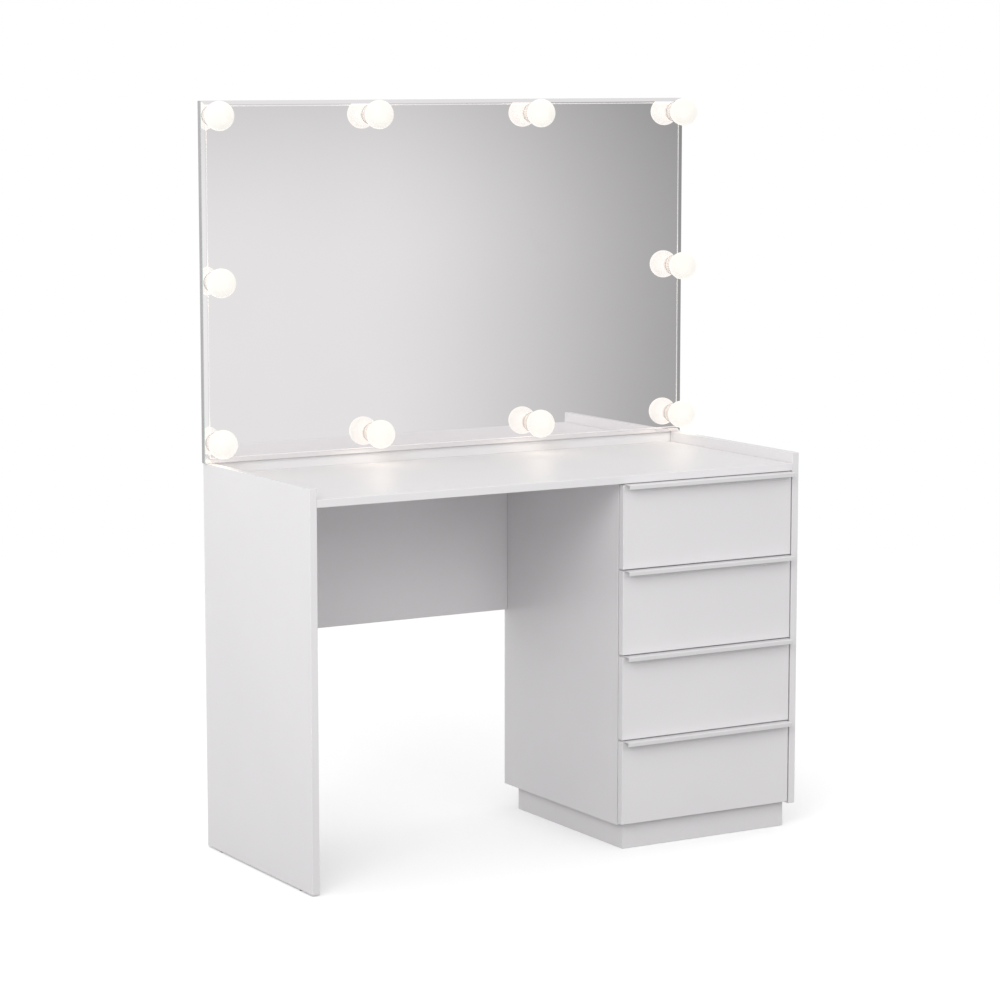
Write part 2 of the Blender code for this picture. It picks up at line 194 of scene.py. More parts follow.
def handlingGroup():
    # faint smears left by hands and cloths
    group, start, end = newGroup(
        "handling marks",
        [("Position", "Vector", None), ("Size", "Float", 7.0), ("Cover", "Float", 0.5)],
        [("Smear", "Float")],
    )
    patch = noise(group, start["Position"], start["Size"], 3.0, 0.6, 0.8)
    close = maths(group, "MULTIPLY", start["Size"], 9.0)
    streak = noise(group, start["Position"], close, 2.0, 0.6, 1.5)
    low = maths(group, "SUBTRACT", 0.75, maths(group, "MULTIPLY", start["Cover"], 0.4))
    mask = ramp(group, patch, low, maths(group, "ADD", low, 0.2))
    feed(group, end["Smear"], maths(group, "MULTIPLY", mask, streak, clamp=True))
    return group


surfaceGrain = surfaceGrainGroup()
boardEdges = boardEdgeGroup()
handlingMarks = handlingGroup()
print("shared effects: surface grain, board edges, handling marks")


# Finishes

def startFinish(name, **sockets):
    made = bpy.data.materials.new(name)
    made.use_nodes = True
    tree = made.node_tree
    tree.nodes.clear()
    out = tree.nodes.new("ShaderNodeOutputMaterial")
    shader = tree.nodes.new("ShaderNodeBsdfPrincipled")
    tree.links.new(shader.outputs["BSDF"], out.inputs["Surface"])
    for label, value in sockets.items():
        shader.inputs[label].default_value = value
    where = tree.nodes.new("ShaderNodeTexCoord").outputs["Object"]
    return made, tree, shader.inputs, where


def addRelief(tree, sockets, height, strength, distance):
    bump = tree.nodes.new("ShaderNodeBump")
    bump.inputs["Strength"].default_value = strength
    bump.inputs["Distance"].default_value = distance
    feed(tree, bump.inputs["Height"], height)
    feed(tree, sockets["Normal"], bump.outputs["Normal"])


def variedRoughness(tree, sockets, base, grain, grainShare, smear=0.0, smearShare=0.0):
    value = maths(tree, "MULTIPLY_ADD", grain, grainShare, base - grainShare / 2)
    if smearShare:
        value = maths(tree, "MULTIPLY_ADD", smear, smearShare, value)
    feed(tree, sockets["Roughness"], value)


melamine = {
    "colour": (0.800, 0.787, 0.796),
    "shade": (0.778, 0.765, 0.776),
    "seam": (0.60, 0.59, 0.60),
    "seamShare": 0.6,
    # painted highlight: a lighter colour along the arrises
    "arrisHighlight": (0.92, 0.915, 0.92),
    "arrisHighlightShare": 0.45,
    "band": 0.0009,
    "cloud": 2.6,
    "peel": 520.0,
    "markSize": 6.0,
    "marks": 0.45,
    "roughness": 0.30,
    "vary": 0.05,
    "smear": 0.10,
    "seamDepth": 2.0,
    "bump": 0.18,
    "relief": 0.00006,
}


def boardFinish(node, thin, roughness=None):
    low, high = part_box(node)
    made, tree, sockets, where = startFinish("white foil " + node, IOR=1.5)
    cloud, peel = melamine["cloud"], melamine["peel"]
    grain = useGroup(tree, surfaceGrain, Position=where, Cloud=cloud, Fine=peel)
    size, cover = melamine["markSize"], melamine["marks"]
    marks = useGroup(tree, handlingMarks, Position=where, Size=size, Cover=cover)
    edges = useGroup(
        tree,
        boardEdges,
        **{
            "Position": where,
            "Low": low,
            "High": high,
            "Thin Axis": [1.0 if axis == thin else 0.0 for axis in "xyz"],
            "Band": melamine["band"],
        },
    )
    colour = mixColour(tree, grain["Tone"], melamine["shade"], melamine["colour"])
    # painted highlight: every arris is lightened towards a near-white colour
    arrisHighlight = maths(tree, "MULTIPLY", edges["Arris"], melamine["arrisHighlightShare"])
    colour = mixColour(tree, arrisHighlight, colour, melamine["arrisHighlight"])
    seam = maths(tree, "MULTIPLY", edges["Seam"], melamine["seamShare"])
    colour = mixColour(tree, seam, colour, melamine["seam"])
    feed(tree, sockets["Base Color"], colour)
    base = roughness or melamine["roughness"]
    variedRoughness(
        tree, sockets, base, grain["Grain"], melamine["vary"], marks["Smear"], melamine["smear"]
    )
    groove = maths(tree, "MULTIPLY", edges["Seam"], melamine["seamDepth"])
    height = maths(tree, "SUBTRACT", grain["Height"], groove)
    addRelief(tree, sockets, height, melamine["bump"], melamine["relief"])
    return made


plainLook = {
    "metal": 0.0,
    "coat": 0.0,
    "coatRoughness": 0.2,
    "stretch": (1, 1, 1),
    "markSize": 14.0,
    "marks": 0.4,
    "speckle": 0.15,
    "vary": 0.06,
    "smear": 0.08,
    "bump": 0.2,
    "relief": 0.00005,
}


def plainFinish(name, own):
    # paint, plastic, rubber, board and metal all come from one recipe with their own values
    look = {**plainLook, **own}
    fixed = {
        "Metallic": look["metal"],
        "IOR": 1.5,
        "Coat Weight": look["coat"],
        "Coat Roughness": look["coatRoughness"],
    }
    made, tree, sockets, where = startFinish(name, **fixed)
    grain = useGroup(
        tree,
        surfaceGrain,
        Position=where,
        Stretch=look["stretch"],
        Cloud=look["cloud"],
        Fine=look["fine"],
    )
    marks = useGroup(tree, handlingMarks, Position=where, Size=look["markSize"], Cover=look["marks"])
    colour = mixColour(tree, grain["Tone"], look["shade"], look["colour"])
    speck = maths(tree, "MULTIPLY", grain["Grain"], look["speckle"])
    colour = mixColour(tree, speck, colour, look["speck"])
    feed(tree, sockets["Base Color"], colour)
    base, vary, smear = look["roughness"], look["vary"], look["smear"]
    variedRoughness(tree, sockets, base, grain["Grain"], vary, marks["Smear"], smear)
    addRelief(tree, sockets, grain["Height"], look["bump"], look["relief"])
    return made


handlePaint = {
    "colour": (0.735, 0.725, 0.732),
    "shade": (0.71, 0.70, 0.71),
    "speck": (0.80, 0.795, 0.80),
    "cloud": 9.0,
    "fine": 1500.0,
    "roughness": 0.36,
    "coat": 0.1,
    "bump": 0.25,
    "relief": 0.00003,
}
zincSteel = {
    "colour": (0.66, 0.67, 0.68),
    "shade": (0.54, 0.55, 0.57),
    "speck": (0.78, 0.78, 0.78),
    "metal": 1.0,
    "cloud": 26.0,
    "fine": 900.0,
    "stretch": (1, 0.06, 1),
    "roughness": 0.34,
    "vary": 0.16,
    "speckle": 0.3,
}
screwSteel = {**zincSteel, "stretch": (1, 1, 1), "cloud": 90.0, "fine": 2400.0, "roughness": 0.28}
strapSteel = {
    **zincSteel,
    "colour": (0.50, 0.51, 0.52),
    "shade": (0.42, 0.43, 0.44),
    "stretch": (1, 1, 0.08),
    "roughness": 0.4,
}
drawerFoil = {
    "colour": (0.70, 0.70, 0.71),
    "shade": (0.66, 0.66, 0.67),
    "speck": (0.78, 0.78, 0.79),
    "cloud": 5.0,
    "fine": 750.0,
    "stretch": (1, 0.3, 1),
    "roughness": 0.42,
    "speckle": 0.35,
}
greyBoard = {
    "colour": (0.40, 0.39, 0.395),
    "shade": (0.365, 0.355, 0.36),
    "speck": (0.48, 0.47, 0.47),
    "cloud": 14.0,
    "fine": 1100.0,
    "roughness": 0.62,
    "speckle": 0.4,
    "bump": 0.35,
    "relief": 0.00012,
}
collarPlastic = {
    "colour": (0.75, 0.695, 0.665),
    "shade": (0.72, 0.665, 0.635),
    "speck": (0.79, 0.74, 0.71),
    "cloud": 60.0,
    "fine": 2600.0,
    "roughness": 0.38,
    "bump": 0.1,
}
driverPlastic = {
    "colour": (0.022, 0.022, 0.024),
    "shade": (0.014, 0.014, 0.015),
    "speck": (0.07, 0.07, 0.075),
    "cloud": 40.0,
    "fine": 1900.0,
    "roughness": 0.5,
    "bump": 0.5,
    "relief": 0.00012,
}
glideNylon = {
    "colour": (0.28, 0.28, 0.29),
    "shade": (0.22, 0.22, 0.23),
    "speck": (0.36, 0.36, 0.37),
    "cloud": 80.0,
    "fine": 2200.0,
    "roughness": 0.48,
}
capPlastic = {
    "colour": (0.74, 0.735, 0.74),
    "shade": (0.70, 0.695, 0.70),
    "speck": (0.80, 0.80, 0.80),
    "cloud": 60.0,
    "fine": 2400.0,
    "roughness": 0.42,
}
bumperRubber = {
    "colour": (0.56, 0.56, 0.55),
    "shade": (0.50, 0.50, 0.49),
    "speck": (0.66, 0.66, 0.66),
    "cloud": 90.0,
    "fine": 2600.0,
    "roughness": 0.30,
    "coat": 0.3,
}
hardboard = {
    "foil": (0.72, 0.715, 0.72),
    "fibre": (0.30, 0.185, 0.105),
    "fibreDark": (0.21, 0.125, 0.07),
    "cloud": 18.0,
    "fine": 820.0,
    "roughness": 0.4,
    "coarser": 0.3,
    "vary": 0.08,
    "bump": 0.4,
    "relief": 0.00015,
}
silvered = {
    "mirror": (0.968, 0.947, 0.952),
    "tint": (0.953, 0.932, 0.938),
    "edge": (0.56, 0.62, 0.60),
    # a painted highlight line along the bevel's crease, lighter, rougher and not metallic
    "bevelHighlight": (0.81, 0.796, 0.796),
    "bevelHighlightInset": 0.0100,
    "bevelHighlightWidth": 0.0011,
    "bevelHighlightRoughness": 0.50,
    "smear": (0.90, 0.884, 0.89),
    "smearShare": 0.5,
    "smearRoughness": 0.003,
    "markSize": 9.0,
    "marks": 0.35,
    "cloud": 3.0,
    "fine": 900.0,
    "edgeRoughness": 0.35,
    "bump": 0.3,
    "relief": 0.00006,
}
opal = {
    "skin": (0.30, 0.29, 0.27),
    "skinShade": (0.26, 0.25, 0.23),
    "glow": (0.70, 0.68, 0.645),
    "rim": (0.84, 0.82, 0.79),
    "limb": (0.68, 0.665, 0.63),
    "limbBlend": 0.35,
    "throw": (2.2, 2.0, 1.68),
    "cloud": 35.0,
    "fine": 1300.0,
    "cloudShare": 0.06,
    "roughness": 0.32,
    "vary": 0.08,
    "bump": 0.15,
    "relief": 0.00003,
}


def hardboardFinish():
    # white foil on the upper face, pressed brown fibre under it and on the cut edges
    made, tree, sockets, where = startFinish("foiled hardboard", IOR=1.5)
    cloud, fine = hardboard["cloud"], hardboard["fine"]
    grain = useGroup(tree, surfaceGrain, Position=where, Cloud=cloud, Fine=fine)
    facing = tree.nodes.new("ShaderNodeNewGeometry").outputs["Normal"]
    up = ramp(tree, vectorMaths(tree, "DOT_PRODUCT", facing, (0, 0, 1)), 0.6, 0.8)
    fibre = mixColour(tree, grain["Grain"], hardboard["fibreDark"], hardboard["fibre"])
    feed(tree, sockets["Base Color"], mixColour(tree, up, fibre, hardboard["foil"]))
    coarse = maths(tree, "SUBTRACT", 1.0, up)
    value = maths(tree, "MULTIPLY_ADD", coarse, hardboard["coarser"], hardboard["roughness"])
    value = maths(tree, "MULTIPLY_ADD", grain["Grain"], hardboard["vary"], value)
    feed(tree, sockets["Roughness"], value)
    height = maths(tree, "MULTIPLY", grain["Height"], maths(tree, "MULTIPLY_ADD", coarse, 0.8, 0.2))
    addRelief(tree, sockets, height, hardboard["bump"], hardboard["relief"])
    return made


def mirrorFinish():
    # silvered face and bevel, with a painted highlight along the crease between them (a lighter,
    # rough, non-metal line) and ground green edges
    made, tree, sockets, where = startFinish("silvered glass", IOR=1.5)
    size, cover = silvered["markSize"], silvered["marks"]
    marks = useGroup(tree, handlingMarks, Position=where, Size=size, Cover=cover)
    cloud, fine = silvered["cloud"], silvered["fine"]
    grain = useGroup(tree, surfaceGrain, Position=where, Cloud=cloud, Fine=fine)
    facing = tree.nodes.new("ShaderNodeNewGeometry").outputs["Normal"]
    along = maths(tree, "ABSOLUTE", vectorMaths(tree, "DOT_PRODUCT", facing, (0, 1, 0)))
    side = ramp(tree, along, 0.5, 0.8, 1.0, 0.0)
    # a painted highlight: a lighter, rough, non-metal line where the bevel starts
    low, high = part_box("mirror_glass")
    fromLow = vectorMaths(tree, "SUBTRACT", where, low)
    fromHigh = vectorMaths(tree, "SUBTRACT", high, where)
    inset = vectorMaths(tree, "MINIMUM", fromLow, fromHigh)
    split = tree.nodes.new("ShaderNodeSeparateXYZ")
    feed(tree, split.inputs[0], inset)
    rim = maths(tree, "MINIMUM", split.outputs["X"], split.outputs["Z"])
    off = maths(tree, "ABSOLUTE", maths(tree, "SUBTRACT", rim, silvered["bevelHighlightInset"]))
    bevelHighlight = ramp(tree, off, silvered["bevelHighlightWidth"] * 0.6, silvered["bevelHighlightWidth"], 1.0, 0.0)
    silver = mixColour(tree, grain["Tone"], silvered["tint"], silvered["mirror"])
    smear = maths(tree, "MULTIPLY", marks["Smear"], silvered["smearShare"])
    silver = mixColour(tree, smear, silver, silvered["smear"])
    silver = mixColour(tree, bevelHighlight, silver, silvered["bevelHighlight"])
    feed(tree, sockets["Base Color"], mixColour(tree, side, silver, silvered["edge"]))
    feed(tree, sockets["Metallic"], maths(tree, "SUBTRACT", 1.0, bevelHighlight))
    value = maths(tree, "MULTIPLY", marks["Smear"], silvered["smearRoughness"])
    value = maths(tree, "MULTIPLY_ADD", bevelHighlight, silvered["bevelHighlightRoughness"], value)
    value = maths(tree, "MULTIPLY_ADD", side, silvered["edgeRoughness"], value)
    feed(tree, sockets["Roughness"], value)
    height = maths(tree, "MULTIPLY", grain["Grain"], side)
    addRelief(tree, sockets, height, silvered["bump"], silvered["relief"])
    return made


def globeFinish(collarPlane, tipPlane):
    # lit opal shell, a little brighter beside its collar, which throws a warmer light than it shows
    made, tree, sockets, where = startFinish("lit opal", **{"Emission Strength": 1.0, "IOR": 1.5})
    split = tree.nodes.new("ShaderNodeSeparateXYZ")
    feed(tree, split.inputs[0], where)
    reach = ramp(tree, split.outputs["Y"], collarPlane, tipPlane)
    grain = useGroup(tree, surfaceGrain, Position=where, Cloud=opal["cloud"], Fine=opal["fine"])
    share = opal["cloudShare"]
    cloudy = maths(tree, "MULTIPLY", reach, 1 - share)
    cloudy = maths(tree, "MULTIPLY_ADD", grain["Tone"], share, cloudy)
    glow = mixColour(tree, cloudy, opal["rim"], opal["glow"])
    edge = tree.nodes.new("ShaderNodeLayerWeight")
    edge.inputs["Blend"].default_value = opal["limbBlend"]
    glow = mixColour(tree, edge.outputs["Facing"], glow, opal["limb"])
    path = tree.nodes.new("ShaderNodeLightPath").outputs
    seen = maths(tree, "MAXIMUM", path["Is Camera Ray"], path["Is Singular Ray"])
    feed(tree, sockets["Emission Color"], mixColour(tree, seen, opal["throw"], glow))
    feed(tree, sockets["Base Color"], mixColour(tree, grain["Tone"], opal["skinShade"], opal["skin"]))
    variedRoughness(tree, sockets, opal["roughness"], grain["Grain"], opal["vary"])
    addRelief(tree, sockets, grain["Height"], opal["bump"], opal["relief"])
    return made


def setFinish(obj, finish):
    obj.data.materials.clear()
    obj.data.materials.append(finish)


finishes = {
    name: plainFinish(name, look)
    for name, look in (
        ("handle powder coat", handlePaint),
        ("zinc runner", zincSteel),
        ("screw steel", screwSteel),
        ("strap steel", strapSteel),
        ("drawer foil", drawerFoil),
        ("grey fibreboard", greyBoard),
        ("collar plastic", collarPlastic),
        ("driver plastic", driverPlastic),
        ("glide nylon", glideNylon),
        ("cap plastic", capPlastic),
        ("bumper rubber", bumperRubber),
    )
}
finishes["hardboard"] = hardboardFinish()
finishes["mirror"] = mirrorFinish()

thinAxes = {
    "left_side_panel": "x",
    "right_side_panel": "x",
    "pedestal_side_panel": "x",
    "table_top": "z",
    "pedestal_floor": "z",
    "rear_upstand": "y",
    "modesty_panel": "y",
    "pedestal_back": "y",
    "plinth_frame": "y",
}
glossier = {"table_top": 0.44}
for name, thin in thinAxes.items():
    setFinish(nodes[name], boardFinish(name, thin, glossier.get(name)))
for name in drawers:
    setFinish(nodes[name + "_front"], boardFinish(name + "_front", "y"))
    setFinish(nodes[name + "_box"], finishes["drawer foil"])
    setFinish(nodes[name + "_bottom"], finishes["hardboard"])
for name, obj in nodes.items():
    if name.startswith("runner_"):
        setFinish(obj, finishes["zinc runner"])
    elif name.startswith("mirror_bracket"):
        setFinish(obj, finishes["strap steel"])
    elif name.startswith("glide_"):
        setFinish(obj, finishes["glide nylon"])
setFinish(nodes["mirror_glass"], finishes["mirror"])
setFinish(nodes["mirror_backing_board"], finishes["grey fibreboard"])
setFinish(nodes["lamp_driver_box"], finishes["driver plastic"])
print("finishes:", len(bpy.data.materials), "materials")


# Mesh helpers

def asObject(name, work, smooth=False):
    mesh = bpy.data.meshes.new(name)
    bmesh.ops.recalc_face_normals(work, faces=work.faces)
    for face in work.faces:
        face.smooth = smooth
    work.to_mesh(mesh)
    work.free()
    obj = bpy.data.objects.new(name, mesh)
    bpy.context.scene.collection.objects.link(obj)
    return obj


def ringOf(work, radius, height, steps):
    turns = [math.tau * step / steps for step in range(steps)]
    return [work.verts.new((radius * math.cos(a), radius * math.sin(a), height)) for a in turns]


def latheItem(name, profile, steps):
    # a turned shape about Z, closed at both poles, from (radius, height) points
    work = bmesh.new()
    rings = []
    for radius, height in profile:
        if radius < 1e-6:
            rings.append([work.verts.new((0, 0, height))])
            continue
        rings.append(ringOf(work, radius, height, steps))
    for low, high in zip(rings, rings[1:]):
        for step in range(steps):
            after = (step + 1) % steps
            corners = [low[step % len(low)], low[after % len(low)]]
            corners += [high[after % len(high)], high[step % len(high)]]
            work.faces.new(list(dict.fromkeys(corners)))
    return asObject(name, work, smooth=True)


def crossHeadItem(name, radius, height, slot, steps=20):
    # a low domed head on the plane z = 0 with a cross recess
    work = bmesh.new()
    rings = []
    for share, level in ((1.0, 0.0), (1.0, 0.35), (0.90, 0.72), (0.68, 1.0)):
        rings.append(ringOf(work, share * radius, level * height, steps))
    work.faces.new(rings[0])
    for low, high in zip(rings, rings[1:]):
        for step in range(steps):
            after = (step + 1) % steps
            work.faces.new((low[step], low[after], high[after], high[step]))
    arm, half = 0.5 * radius, slot / 2
    outline = [
        (arm, -half), (arm, half), (half, half), (half, arm), (-half, arm), (-half, half),
        (-arm, half), (-arm, -half), (-half, -half), (-half, -arm), (half, -arm), (half, -half),
    ]
    rim = [work.verts.new((x, y, height)) for x, y in outline]
    floor = [work.verts.new((x * 0.7, y * 0.7, height * 0.3)) for x, y in outline]
    edges = []
    for ring in (rings[-1], rim):
        for first, second in zip(ring, ring[1:] + ring[:1]):
            edges.append(work.edges.get((first, second)) or work.edges.new((first, second)))
    bmesh.ops.triangle_fill(work, edges=edges, use_beauty=True)
    for index in range(12):
        after = (index + 1) % 12
        work.faces.new((rim[index], rim[after], floor[after], floor[index]))
    work.faces.new(floor)
    return asObject(name, work)


def pointsObject(name, places, facings):
    mesh = bpy.data.meshes.new(name)
    mesh.from_pydata([tuple(place) for place in places], [], [])
    facing = mesh.attributes.new("facing", "FLOAT_VECTOR", "POINT")
    facing.data.foreach_set("vector", [value for vector in facings for value in vector])
    obj = bpy.data.objects.new(name, mesh)
    bpy.context.scene.collection.objects.link(obj)
    return obj


def geometryTree(name, given):
    tree = bpy.data.node_groups.new(name, "GeometryNodeTree")
    tree.is_modifier = True
    keys = {}
    for label, kind in given:
        socket = tree.interface.new_socket(
            name=label, in_out="INPUT", socket_type="NodeSocket" + kind
        )
        keys[label] = socket.identifier
    tree.interface.new_socket(name="Geometry", in_out="OUTPUT", socket_type="NodeSocketGeometry")
    start = tree.nodes.new("NodeGroupInput").outputs
    end = tree.nodes.new("NodeGroupOutput").inputs
    return tree, keys, start, end


def facingTurn(tree):
    # the rotation that brings an item's Z onto the facing of its point
    facing = tree.nodes.new("GeometryNodeInputNamedAttribute")
    facing.data_type = "FLOAT_VECTOR"
    facing.inputs["Name"].default_value = "facing"
    align = tree.nodes.new("FunctionNodeAlignRotationToVector")
    align.axis = "Z"
    tree.links.new(facing.outputs["Attribute"], align.inputs["Vector"])
    return align.outputs["Rotation"]


def realise(tree, instances, finish, end):
    real = tree.nodes.new("GeometryNodeRealizeInstances")
    paint = tree.nodes.new("GeometryNodeSetMaterial")
    tree.links.new(instances, real.inputs["Geometry"])
    tree.links.new(real.outputs["Geometry"], paint.inputs["Geometry"])
    tree.links.new(finish, paint.inputs["Material"])
    tree.links.new(paint.outputs["Geometry"], end["Geometry"])


def hardwareTree():
    # one item on every point, each turned about its own axis by a seeded angle
    tree, keys, start, end = geometryTree(
        "place hardware",
        [
            ("Points", "Geometry"),
            ("Item", "Object"),
            ("Twist", "Float"),
            ("Seed", "Int"),
            ("Finish", "Material"),
        ],
    )
    item = tree.nodes.new("GeometryNodeObjectInfo")
    tree.links.new(start["Item"], item.inputs["Object"])
    chance = tree.nodes.new("FunctionNodeRandomValue")
    chance.data_type = "FLOAT"
    tree.links.new(start["Seed"], chance.inputs["Seed"])
    angle = tree.nodes.new("ShaderNodeMath")
    angle.operation = "MULTIPLY"
    tree.links.new(chance.outputs[1], angle.inputs[0])
    tree.links.new(start["Twist"], angle.inputs[1])
    about = tree.nodes.new("ShaderNodeCombineXYZ")
    tree.links.new(angle.outputs[0], about.inputs["Z"])
    twist = tree.nodes.new("FunctionNodeEulerToRotation")
    tree.links.new(about.outputs[0], twist.inputs[0])
    turn = tree.nodes.new("FunctionNodeRotateRotation")
    turn.rotation_space = "LOCAL"
    tree.links.new(facingTurn(tree), turn.inputs["Rotation"])
    tree.links.new(twist.outputs[0], turn.inputs["Rotate By"])
    spread = tree.nodes.new("GeometryNodeInstanceOnPoints")
    tree.links.new(start["Points"], spread.inputs["Points"])
    tree.links.new(item.outputs["Geometry"], spread.inputs["Instance"])
    tree.links.new(turn.outputs["Rotation"], spread.inputs["Rotation"])
    realise(tree, spread.outputs["Instances"], start["Finish"], end)
    return tree, keys


def globeTree():
    # a smooth ball on every point, with a flat seat where it meets its collar
    tree, keys, start, end = geometryTree(
        "lamp globes",
        [
            ("Points", "Geometry"),
            ("Radius", "Float"),
            ("Seat", "Float"),
            ("Segments", "Int"),
            ("Finish", "Material"),
        ],
    )
    ball = tree.nodes.new("GeometryNodeMeshUVSphere")
    half = tree.nodes.new("ShaderNodeMath")
    half.operation = "DIVIDE"
    half.inputs[1].default_value = 2.0
    tree.links.new(start["Segments"], half.inputs[0])
    tree.links.new(start["Segments"], ball.inputs["Segments"])
    tree.links.new(half.outputs[0], ball.inputs["Rings"])
    tree.links.new(start["Radius"], ball.inputs["Radius"])
    position = tree.nodes.new("GeometryNodeInputPosition")
    seat = tree.nodes.new("ShaderNodeCombineXYZ")
    seat.inputs["X"].default_value = seat.inputs["Y"].default_value = -1.0
    tree.links.new(start["Seat"], seat.inputs["Z"])
    lift = tree.nodes.new("ShaderNodeVectorMath")
    lift.operation = "MAXIMUM"
    tree.links.new(position.outputs[0], lift.inputs[0])
    tree.links.new(seat.outputs[0], lift.inputs[1])
    flat = tree.nodes.new("GeometryNodeSetPosition")
    tree.links.new(ball.outputs["Mesh"], flat.inputs["Geometry"])
    tree.links.new(lift.outputs[0], flat.inputs["Position"])
    smooth = tree.nodes.new("GeometryNodeSetShadeSmooth")
    tree.links.new(flat.outputs["Geometry"], smooth.inputs["Geometry"])
    spread = tree.nodes.new("GeometryNodeInstanceOnPoints")
    tree.links.new(start["Points"], spread.inputs["Points"])
    tree.links.new(smooth.outputs["Geometry"], spread.inputs["Instance"])
    tree.links.new(facingTurn(tree), spread.inputs["Rotation"])
    realise(tree, spread.outputs["Instances"], start["Finish"], end)
    return tree, keys


placeHardware = hardwareTree()
lampGlobes = globeTree()


def grow(name, points, treeAndKeys, values, spare=()):
    # runs a tree on the points, keeps its result as a plain mesh, and clears what it was made from
    tree, keys = treeAndKeys
    modifier = points.modifiers.new("build", "NODES")
    modifier.node_group = tree
    for label, value in values.items():
        modifier[keys[label]] = value
    bpy.context.view_layer.update()
    graph = bpy.context.evaluated_depsgraph_get()
    mesh = bpy.data.meshes.new_from_object(points.evaluated_get(graph), depsgraph=graph)
    mesh.name = name
    points.modifiers.clear()
    for obj in (points, *spare):
        bpy.data.objects.remove(obj)
    for attribute in [a for a in mesh.attributes if a.name == "facing"]:
        mesh.attributes.remove(attribute)
    made = bpy.data.objects.new(name, mesh)
    bpy.context.scene.collection.objects.link(made)
    return made


def hardware(name, item, places, facings, finish, body, twist=math.tau, seed=3):
    # the item on every place, facing its way; one facing serves for all when only one is given
    if len(facings) == 1:
        facings = facings * len(places)
    values = {"Item": item, "Twist": twist, "Seed": seed, "Finish": finishes[finish]}
    points = pointsObject(name + " points", places, facings)
    made = grow(name, points, placeHardware, values, spare=(item,))
    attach(made, body)
    return made


def foldedStrip(centre, sheet, bend, steps=6):
    # the outline of bent sheet: a centre line with rounded corners, offset to both sides
    points = [Vector(centre[0])]
    for before, corner, after in zip(centre, centre[1:], centre[2:]):
        before, corner, after = Vector(before), Vector(corner), Vector(after)
        inward, outward = (before - corner).normalized(), (after - corner).normalized()
        pivot = corner + (inward + outward) * bend
        for step in range(steps + 1):
            angle = math.pi / 2 * step / steps
            spoke = -outward * math.cos(angle) - inward * math.sin(angle)
            points.append(pivot + spoke * bend)
    points.append(Vector(centre[-1]))
    sides = ([], [])
    for index, point in enumerate(points):
        ahead = points[min(index + 1, len(points) - 1)] - points[max(index - 1, 0)]
        across = Vector((-ahead.y, ahead.x)).normalized() * sheet / 2
        sides[0].append(point + across)
        sides[1].append(point - across)
    return sides[0] + sides[1][::-1]


def addPrism(work, first, second):
    # both ends and the walls between two matching outlines
    near, far = [[work.verts.new(place) for place in outline] for outline in (first, second)]
    work.faces.new(near)
    work.faces.new(far[::-1])
    for index in range(len(near)):
        after = (index + 1) % len(near)
        work.faces.new((near[index], near[after], far[after], far[index]))


def extrudedAlongX(name, outline, lowX, highX):
    work = bmesh.new()
    addPrism(work, *([(x, y, z) for y, z in outline] for x in (lowX, highX)))
    return asObject(name, work)


def softenEdges(obj, width, segments=2, angle=40):
    bevel = obj.modifiers.new("soft edges", "BEVEL")
    bevel.width = width
    bevel.segments = segments
    bevel.limit_method = "ANGLE"
    bevel.angle_limit = math.radians(angle)
    bevel.harden_normals = False


# Lamps

lamp = {
    "segments": 56,
    "seatShare": 0.852,
    "collarSteps": 40,
    "spigotRadius": 0.0094,
    "spigotLength": 0.0140,
    "gasket": 0.0008,
    "gasketReach": 0.004,
}


def buildLamps():
    boxes = [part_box(f"lamp_globe_{number}") for number in lampNumbers]
    radius = (boxes[0][1].x - boxes[0][0].x) / 2
    centres = [((low.x + high.x) / 2, low.y + radius, (low.z + high.z) / 2) for low, high in boxes]
    forward = [(0, -1, 0)]
    tip = boxes[0][0].y
    collarPlane = tip + radius * (1 + lamp["seatShare"])
    finishes["globe"] = globeFinish(collarPlane, tip + radius * 0.9)
    values = {
        "Radius": radius,
        "Seat": -radius * lamp["seatShare"],
        "Segments": lamp["segments"],
        "Finish": finishes["globe"],
    }
    points = pointsObject("globe points", centres, forward * len(centres))
    globes = grow("lamp_globes", points, lampGlobes, values)
    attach(globes, "table")
    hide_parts(*(f"lamp_globe_{number}" for number in lampNumbers))

    # collars, from the glass out to the seat of the globe
    low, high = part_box("lamp_socket_1")
    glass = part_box("mirror_glass")[0].y
    wide = (high.x - low.x) / 2
    rise = glass - collarPlane
    spigot, depth = lamp["spigotRadius"], -lamp["spigotLength"]
    profile = [
        (0, depth), (spigot, depth), (spigot, 0.0003), (wide - 0.0006, 0.0003), (wide, 0.0009),
        (wide, 0.0022), (wide - 0.0008, 0.0030), (wide - 0.0019, 0.0033), (wide - 0.0019, 0.0046),
        (wide - 0.0025, 0.0052), (wide - 0.0025, rise - 0.0011), (wide - 0.0029, rise - 0.0004),
        (0.0142, rise - 0.0004), (0.0136, rise - 0.0012), (0, rise - 0.0012),
    ]
    item = latheItem("collar item", profile, lamp["collarSteps"])
    feet = [(x, glass, z) for x, _, z in centres]
    collars = hardware(
        "lamp_collars", item, feet, forward, "collar plastic", "table", twist=0.0
    )
    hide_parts(*(f"lamp_socket_{number}" for number in lampNumbers))

    # a thin sealing ring between each collar and the glass
    ring, bore = wide + lamp["gasket"], wide - lamp["gasketReach"]
    profile = [
        (bore, 0.00005), (ring, 0.00005), (ring, 0.0006),
        (ring - 0.0003, 0.0009), (bore, 0.0009), (bore, 0.00005),
    ]
    item = latheItem("gasket item", profile, lamp["collarSteps"])
    hardware("lamp_gaskets", item, feet, forward, "bumper rubber", "table", twist=0.0)
    print("lamps:", len(centres), "globes with collars and sealing rings")


buildLamps()


# Drawer handles, with the screws on their back legs

handle = {
    "sheet": 0.0015,
    "lip": 0.0090,
    "bend": 0.0013,
    "screws": 5,
    "screwsFromLeft": 0.034,
    "screwsFromRight": 0.030,
    "screwRise": 0.0065,
    "screwRadius": 0.0033,
    "screwHeight": 0.0016,
    "screwSlot": 0.0011,
    "soften": 0.0003,
}


